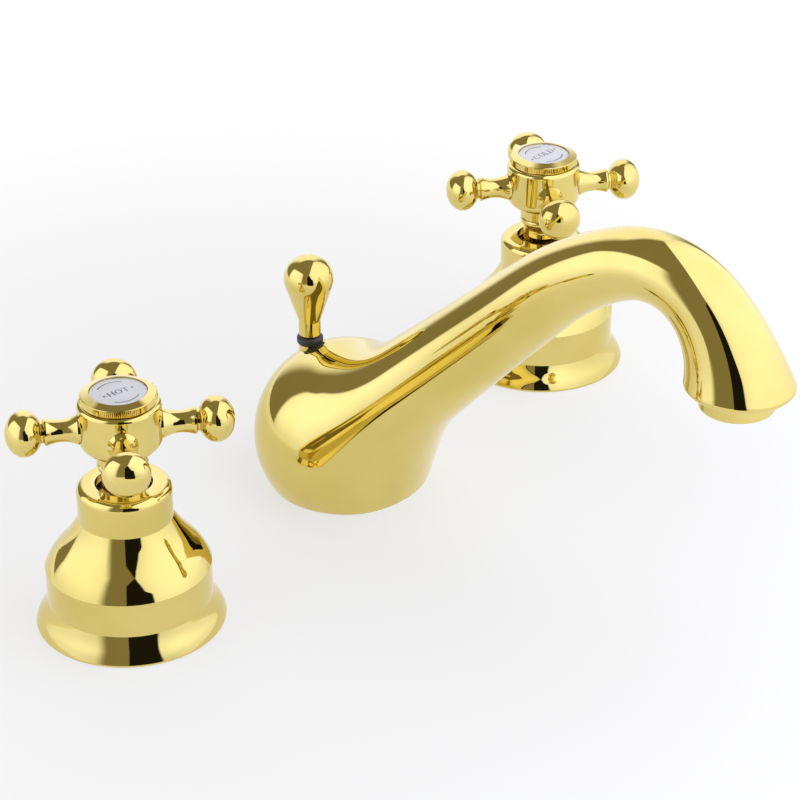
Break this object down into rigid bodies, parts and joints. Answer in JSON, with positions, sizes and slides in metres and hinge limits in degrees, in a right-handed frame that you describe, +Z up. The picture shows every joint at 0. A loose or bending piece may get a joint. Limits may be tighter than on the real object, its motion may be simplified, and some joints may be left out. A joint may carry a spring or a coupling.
{
  "type": "basin mixer faucet",
  "caption": "Widespread basin mixer with an arched flared spout on a round base, bell-footed cross handles with index discs and a pear-shaped pop-up lift knob.",
  "frame": {"origin": "on the deck's top face, on the axis of the spout's fixing shank", "axes": "+Z up, +X from the hot valve to the cold valve, spout reaching towards -Y"},
  "size_m": [0.2544, 0.1835, 0.2194],
  "materials": {
    "polished_gold": "mirror polish",
    "plain_brass": "machined",
    "copper_tube": "drawn",
    "black_rubber": "matte",
    "washer_steel": "zinc plated",
    "white_plastic": "moulded",
    "valve_ceramic": "lapped",
    "index_enamel": "glossy"
  },
  "bodies": {
    "fixed": {"spout_body": "polished_gold", "aerator_housing": "polished_gold", "spout_shank": "plain_brass", "spout_lock_nut": "plain_brass", "tee_fitting": "plain_brass", "link_compression_nuts": "plain_brass", "link_compression_olives": "plain_brass", "valve_lock_nuts": "plain_brass", "hot_link_tube": "copper_tube", "cold_link_tube": "copper_tube", "spout_base_seal": "black_rubber", "spout_rubber_washer": "black_rubber", "aerator_seal": "black_rubber", "tee_seal": "black_rubber", "valve_rubber_washers": "black_rubber", "stem_seal_rings": "black_rubber", "spout_steel_washer": "washer_steel", "valve_steel_washers": "washer_steel", "aerator_insert": "white_plastic", "lift_rod_guide": "polished_gold", "hot_bell_cover": "polished_gold", "hot_valve_body": "plain_brass", "hot_cartridge_sleeve": "plain_brass", "hot_gland_nut": "plain_brass", "hot_bell_seal": "black_rubber", "hot_seat_seal": "black_rubber", "hot_fixed_disc": "valve_ceramic", "cold_bell_cover": "polished_gold", "cold_valve_body": "plain_brass", "cold_cartridge_sleeve": "plain_brass", "cold_gland_nut": "plain_brass", "cold_bell_seal": "black_rubber", "cold_seat_seal": "black_rubber", "cold_fixed_disc": "valve_ceramic"},
    "hot_handle": {"hot_stem": "plain_brass", "hot_moving_disc": "valve_ceramic", "hot_handle_collar": "polished_gold", "hot_handle_hub": "polished_gold", "hot_handle_screw": "washer_steel", "hot_index_ring": "polished_gold", "hot_index_disc": "index_enamel", "hot_handle_arm_1": "polished_gold", "hot_handle_arm_2": "polished_gold", "hot_handle_arm_3": "polished_gold", "hot_handle_arm_4": "polished_gold"},
    "cold_handle": {"cold_stem": "plain_brass", "cold_moving_disc": "valve_ceramic", "cold_handle_collar": "polished_gold", "cold_handle_hub": "polished_gold", "cold_handle_screw": "washer_steel", "cold_index_ring": "polished_gold", "cold_index_disc": "index_enamel", "cold_handle_arm_1": "polished_gold", "cold_handle_arm_2": "polished_gold", "cold_handle_arm_3": "polished_gold", "cold_handle_arm_4": "polished_gold"},
    "lift": {"lift_rod": "polished_gold", "lift_knob": "polished_gold", "lift_bumper_ring": "black_rubber"}
  },
  "joints": [
    {"name": "hot_turn", "type": "hinge", "parent": "fixed", "child": "hot_handle", "pos_m": [-0.1, 0, 0.06], "axis": [0, 0, 1], "range_deg": [0, 90]},
    {"name": "cold_turn", "type": "hinge", "parent": "fixed", "child": "cold_handle", "pos_m": [0.1, 0, 0.06], "axis": [0, 0, 1], "range_deg": [-90, 0]},
    {"name": "lift_slide", "type": "slide", "parent": "fixed", "child": "lift", "axis": [0, 0, 1], "range_m": [0, 0.03]}
  ]
}
